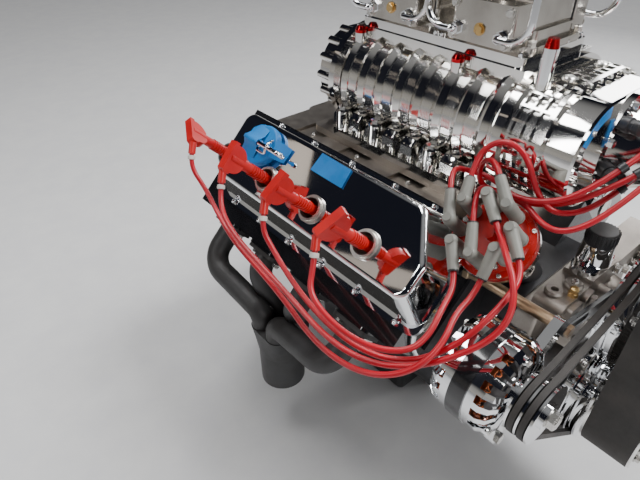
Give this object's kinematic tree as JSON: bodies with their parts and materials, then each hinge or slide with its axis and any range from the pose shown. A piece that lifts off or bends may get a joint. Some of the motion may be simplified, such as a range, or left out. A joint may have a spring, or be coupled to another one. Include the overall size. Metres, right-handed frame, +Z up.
{
  "type": "supercharged v8 engine",
  "caption": "Blown vee engine with ribbed blower, toothed belt drive, twin carburettors, distributor with plug leads, alternator and headers; crank and belt-driven pulleys turn.",
  "frame": {"origin": "where the crankshaft's axis meets the block's rear face, the bellhousing face", "axes": "+Z up, the crankshaft along Y with the engine's front towards -Y, right bank at -X"},
  "size_m": [0.8367, 0.86, 0.917],
  "materials": {
    "block_iron": "satin paint over a casting",
    "cast_alloy": "as cast, weathered",
    "polished_alloy": "polished, with fine machining lines",
    "chrome_plate": "mirror",
    "zinc_plate": "satin plating",
    "steel_dark": "oiled",
    "bronze_steel": "tarnished plating",
    "black_paint": "satin",
    "header_paint": "matt high-heat paint",
    "red_silicone": "smooth",
    "grey_rubber": "matt, ringed",
    "belt_rubber": "worn",
    "red_plastic": "moulded",
    "black_plastic": "knurled edge",
    "red_anodised": "anodised",
    "copper_wire": "varnished windings",
    "blue_tape": "matt crepe masking tape",
    "white_sleeve": "lead marker sleeves",
    "yellow_brass": "machined fittings"
  },
  "bodies": {
    "engine": {"adjuster_arm": "black_paint", "alternator_bracket": "zinc_plate", "alternator_case_front": "chrome_plate", "alternator_case_rear": "chrome_plate", "alternator_stator": "black_paint", "alternator_stay": "bronze_steel", "alternator_windings": "copper_wire", "block": "block_iron", "blower_case": "polished_alloy", "cap_boots": "grey_rubber", "carburettor_plate": "polished_alloy", "carburettors": "zinc_plate", "cog_belt": "belt_rubber", "distributor": "polished_alloy", "distributor_cap": "red_plastic", "fan_belts": "belt_rubber", "filler_cap": "blue_tape", "front_bearing_plate": "polished_alloy", "front_drum": "polished_alloy", "fuel_lines": "chrome_plate", "gear_cover": "polished_alloy", "gear_cover_vent": "chrome_plate", "head_left": "cast_alloy", "head_right": "cast_alloy", "headers": "header_paint", "idler_bracket": "polished_alloy", "lead_left_1": "red_silicone", "lead_left_2": "red_silicone", "lead_left_3": "red_silicone", "lead_left_4": "red_silicone", "lead_right_1": "red_silicone", "lead_right_2": "red_silicone", "lead_right_3": "red_silicone", "lead_right_4": "red_silicone", "manifold": "cast_alloy", "neck_cap": "black_plastic", "oil_filter": "black_paint", "oil_pan": "black_paint", "pivot_bolt": "zinc_plate", "plug_boots": "red_silicone", "plug_tubes": "chrome_plate", "port_domes": "red_anodised", "rear_bearing_plate": "polished_alloy", "rear_cover": "polished_alloy", "snout": "polished_alloy", "timing_cover": "cast_alloy", "valve_cover_left": "chrome_plate", "valve_cover_right": "chrome_plate", "water_neck": "chrome_plate", "water_pump": "cast_alloy"},
    "crank": {"crankshaft": "steel_dark", "crank_damper": "steel_dark", "crank_pulley": "chrome_plate", "crank_cog_pulley": "polished_alloy"},
    "pump": {"pump_pulley": "chrome_plate"},
    "alternator": {"alternator_rotor": "steel_dark", "alternator_pulley": "chrome_plate"},
    "blower_drive": {"blower_pulley": "polished_alloy"},
    "idler": {"idler_pulley": "polished_alloy"}
  },
  "joints": [
    {"name": "crank_spin", "type": "hinge", "parent": "engine", "child": "crank", "pos_m": [0, -0.7, 0], "axis": [0, 1, 0], "continuous": true},
    {"name": "pump_spin", "type": "hinge", "parent": "engine", "child": "pump", "pos_m": [0, -0.745, 0.195], "axis": [0, 1, 0], "continuous": true},
    {"name": "alternator_spin", "type": "hinge", "parent": "engine", "child": "alternator", "pos_m": [-0.268, -0.7, 0.188], "axis": [0, 1, 0], "continuous": true},
    {"name": "blower_spin", "type": "hinge", "parent": "engine", "child": "blower_drive", "pos_m": [0, -0.8, 0.432], "axis": [0, 1, 0], "continuous": true},
    {"name": "idler_spin", "type": "hinge", "parent": "engine", "child": "idler", "pos_m": [0.10985, -0.808, 0.3], "axis": [0, 1, 0], "continuous": true}
  ],
  "couplings": [
    {"joint": "pump_spin", "follows": "crank_spin", "ratio": 0.9339},
    {"joint": "alternator_spin", "follows": "crank_spin", "ratio": 2.0784},
    {"joint": "blower_spin", "follows": "crank_spin", "ratio": 1.2083},
    {"joint": "idler_spin", "follows": "crank_spin", "ratio": -1.9434}
  ]
}
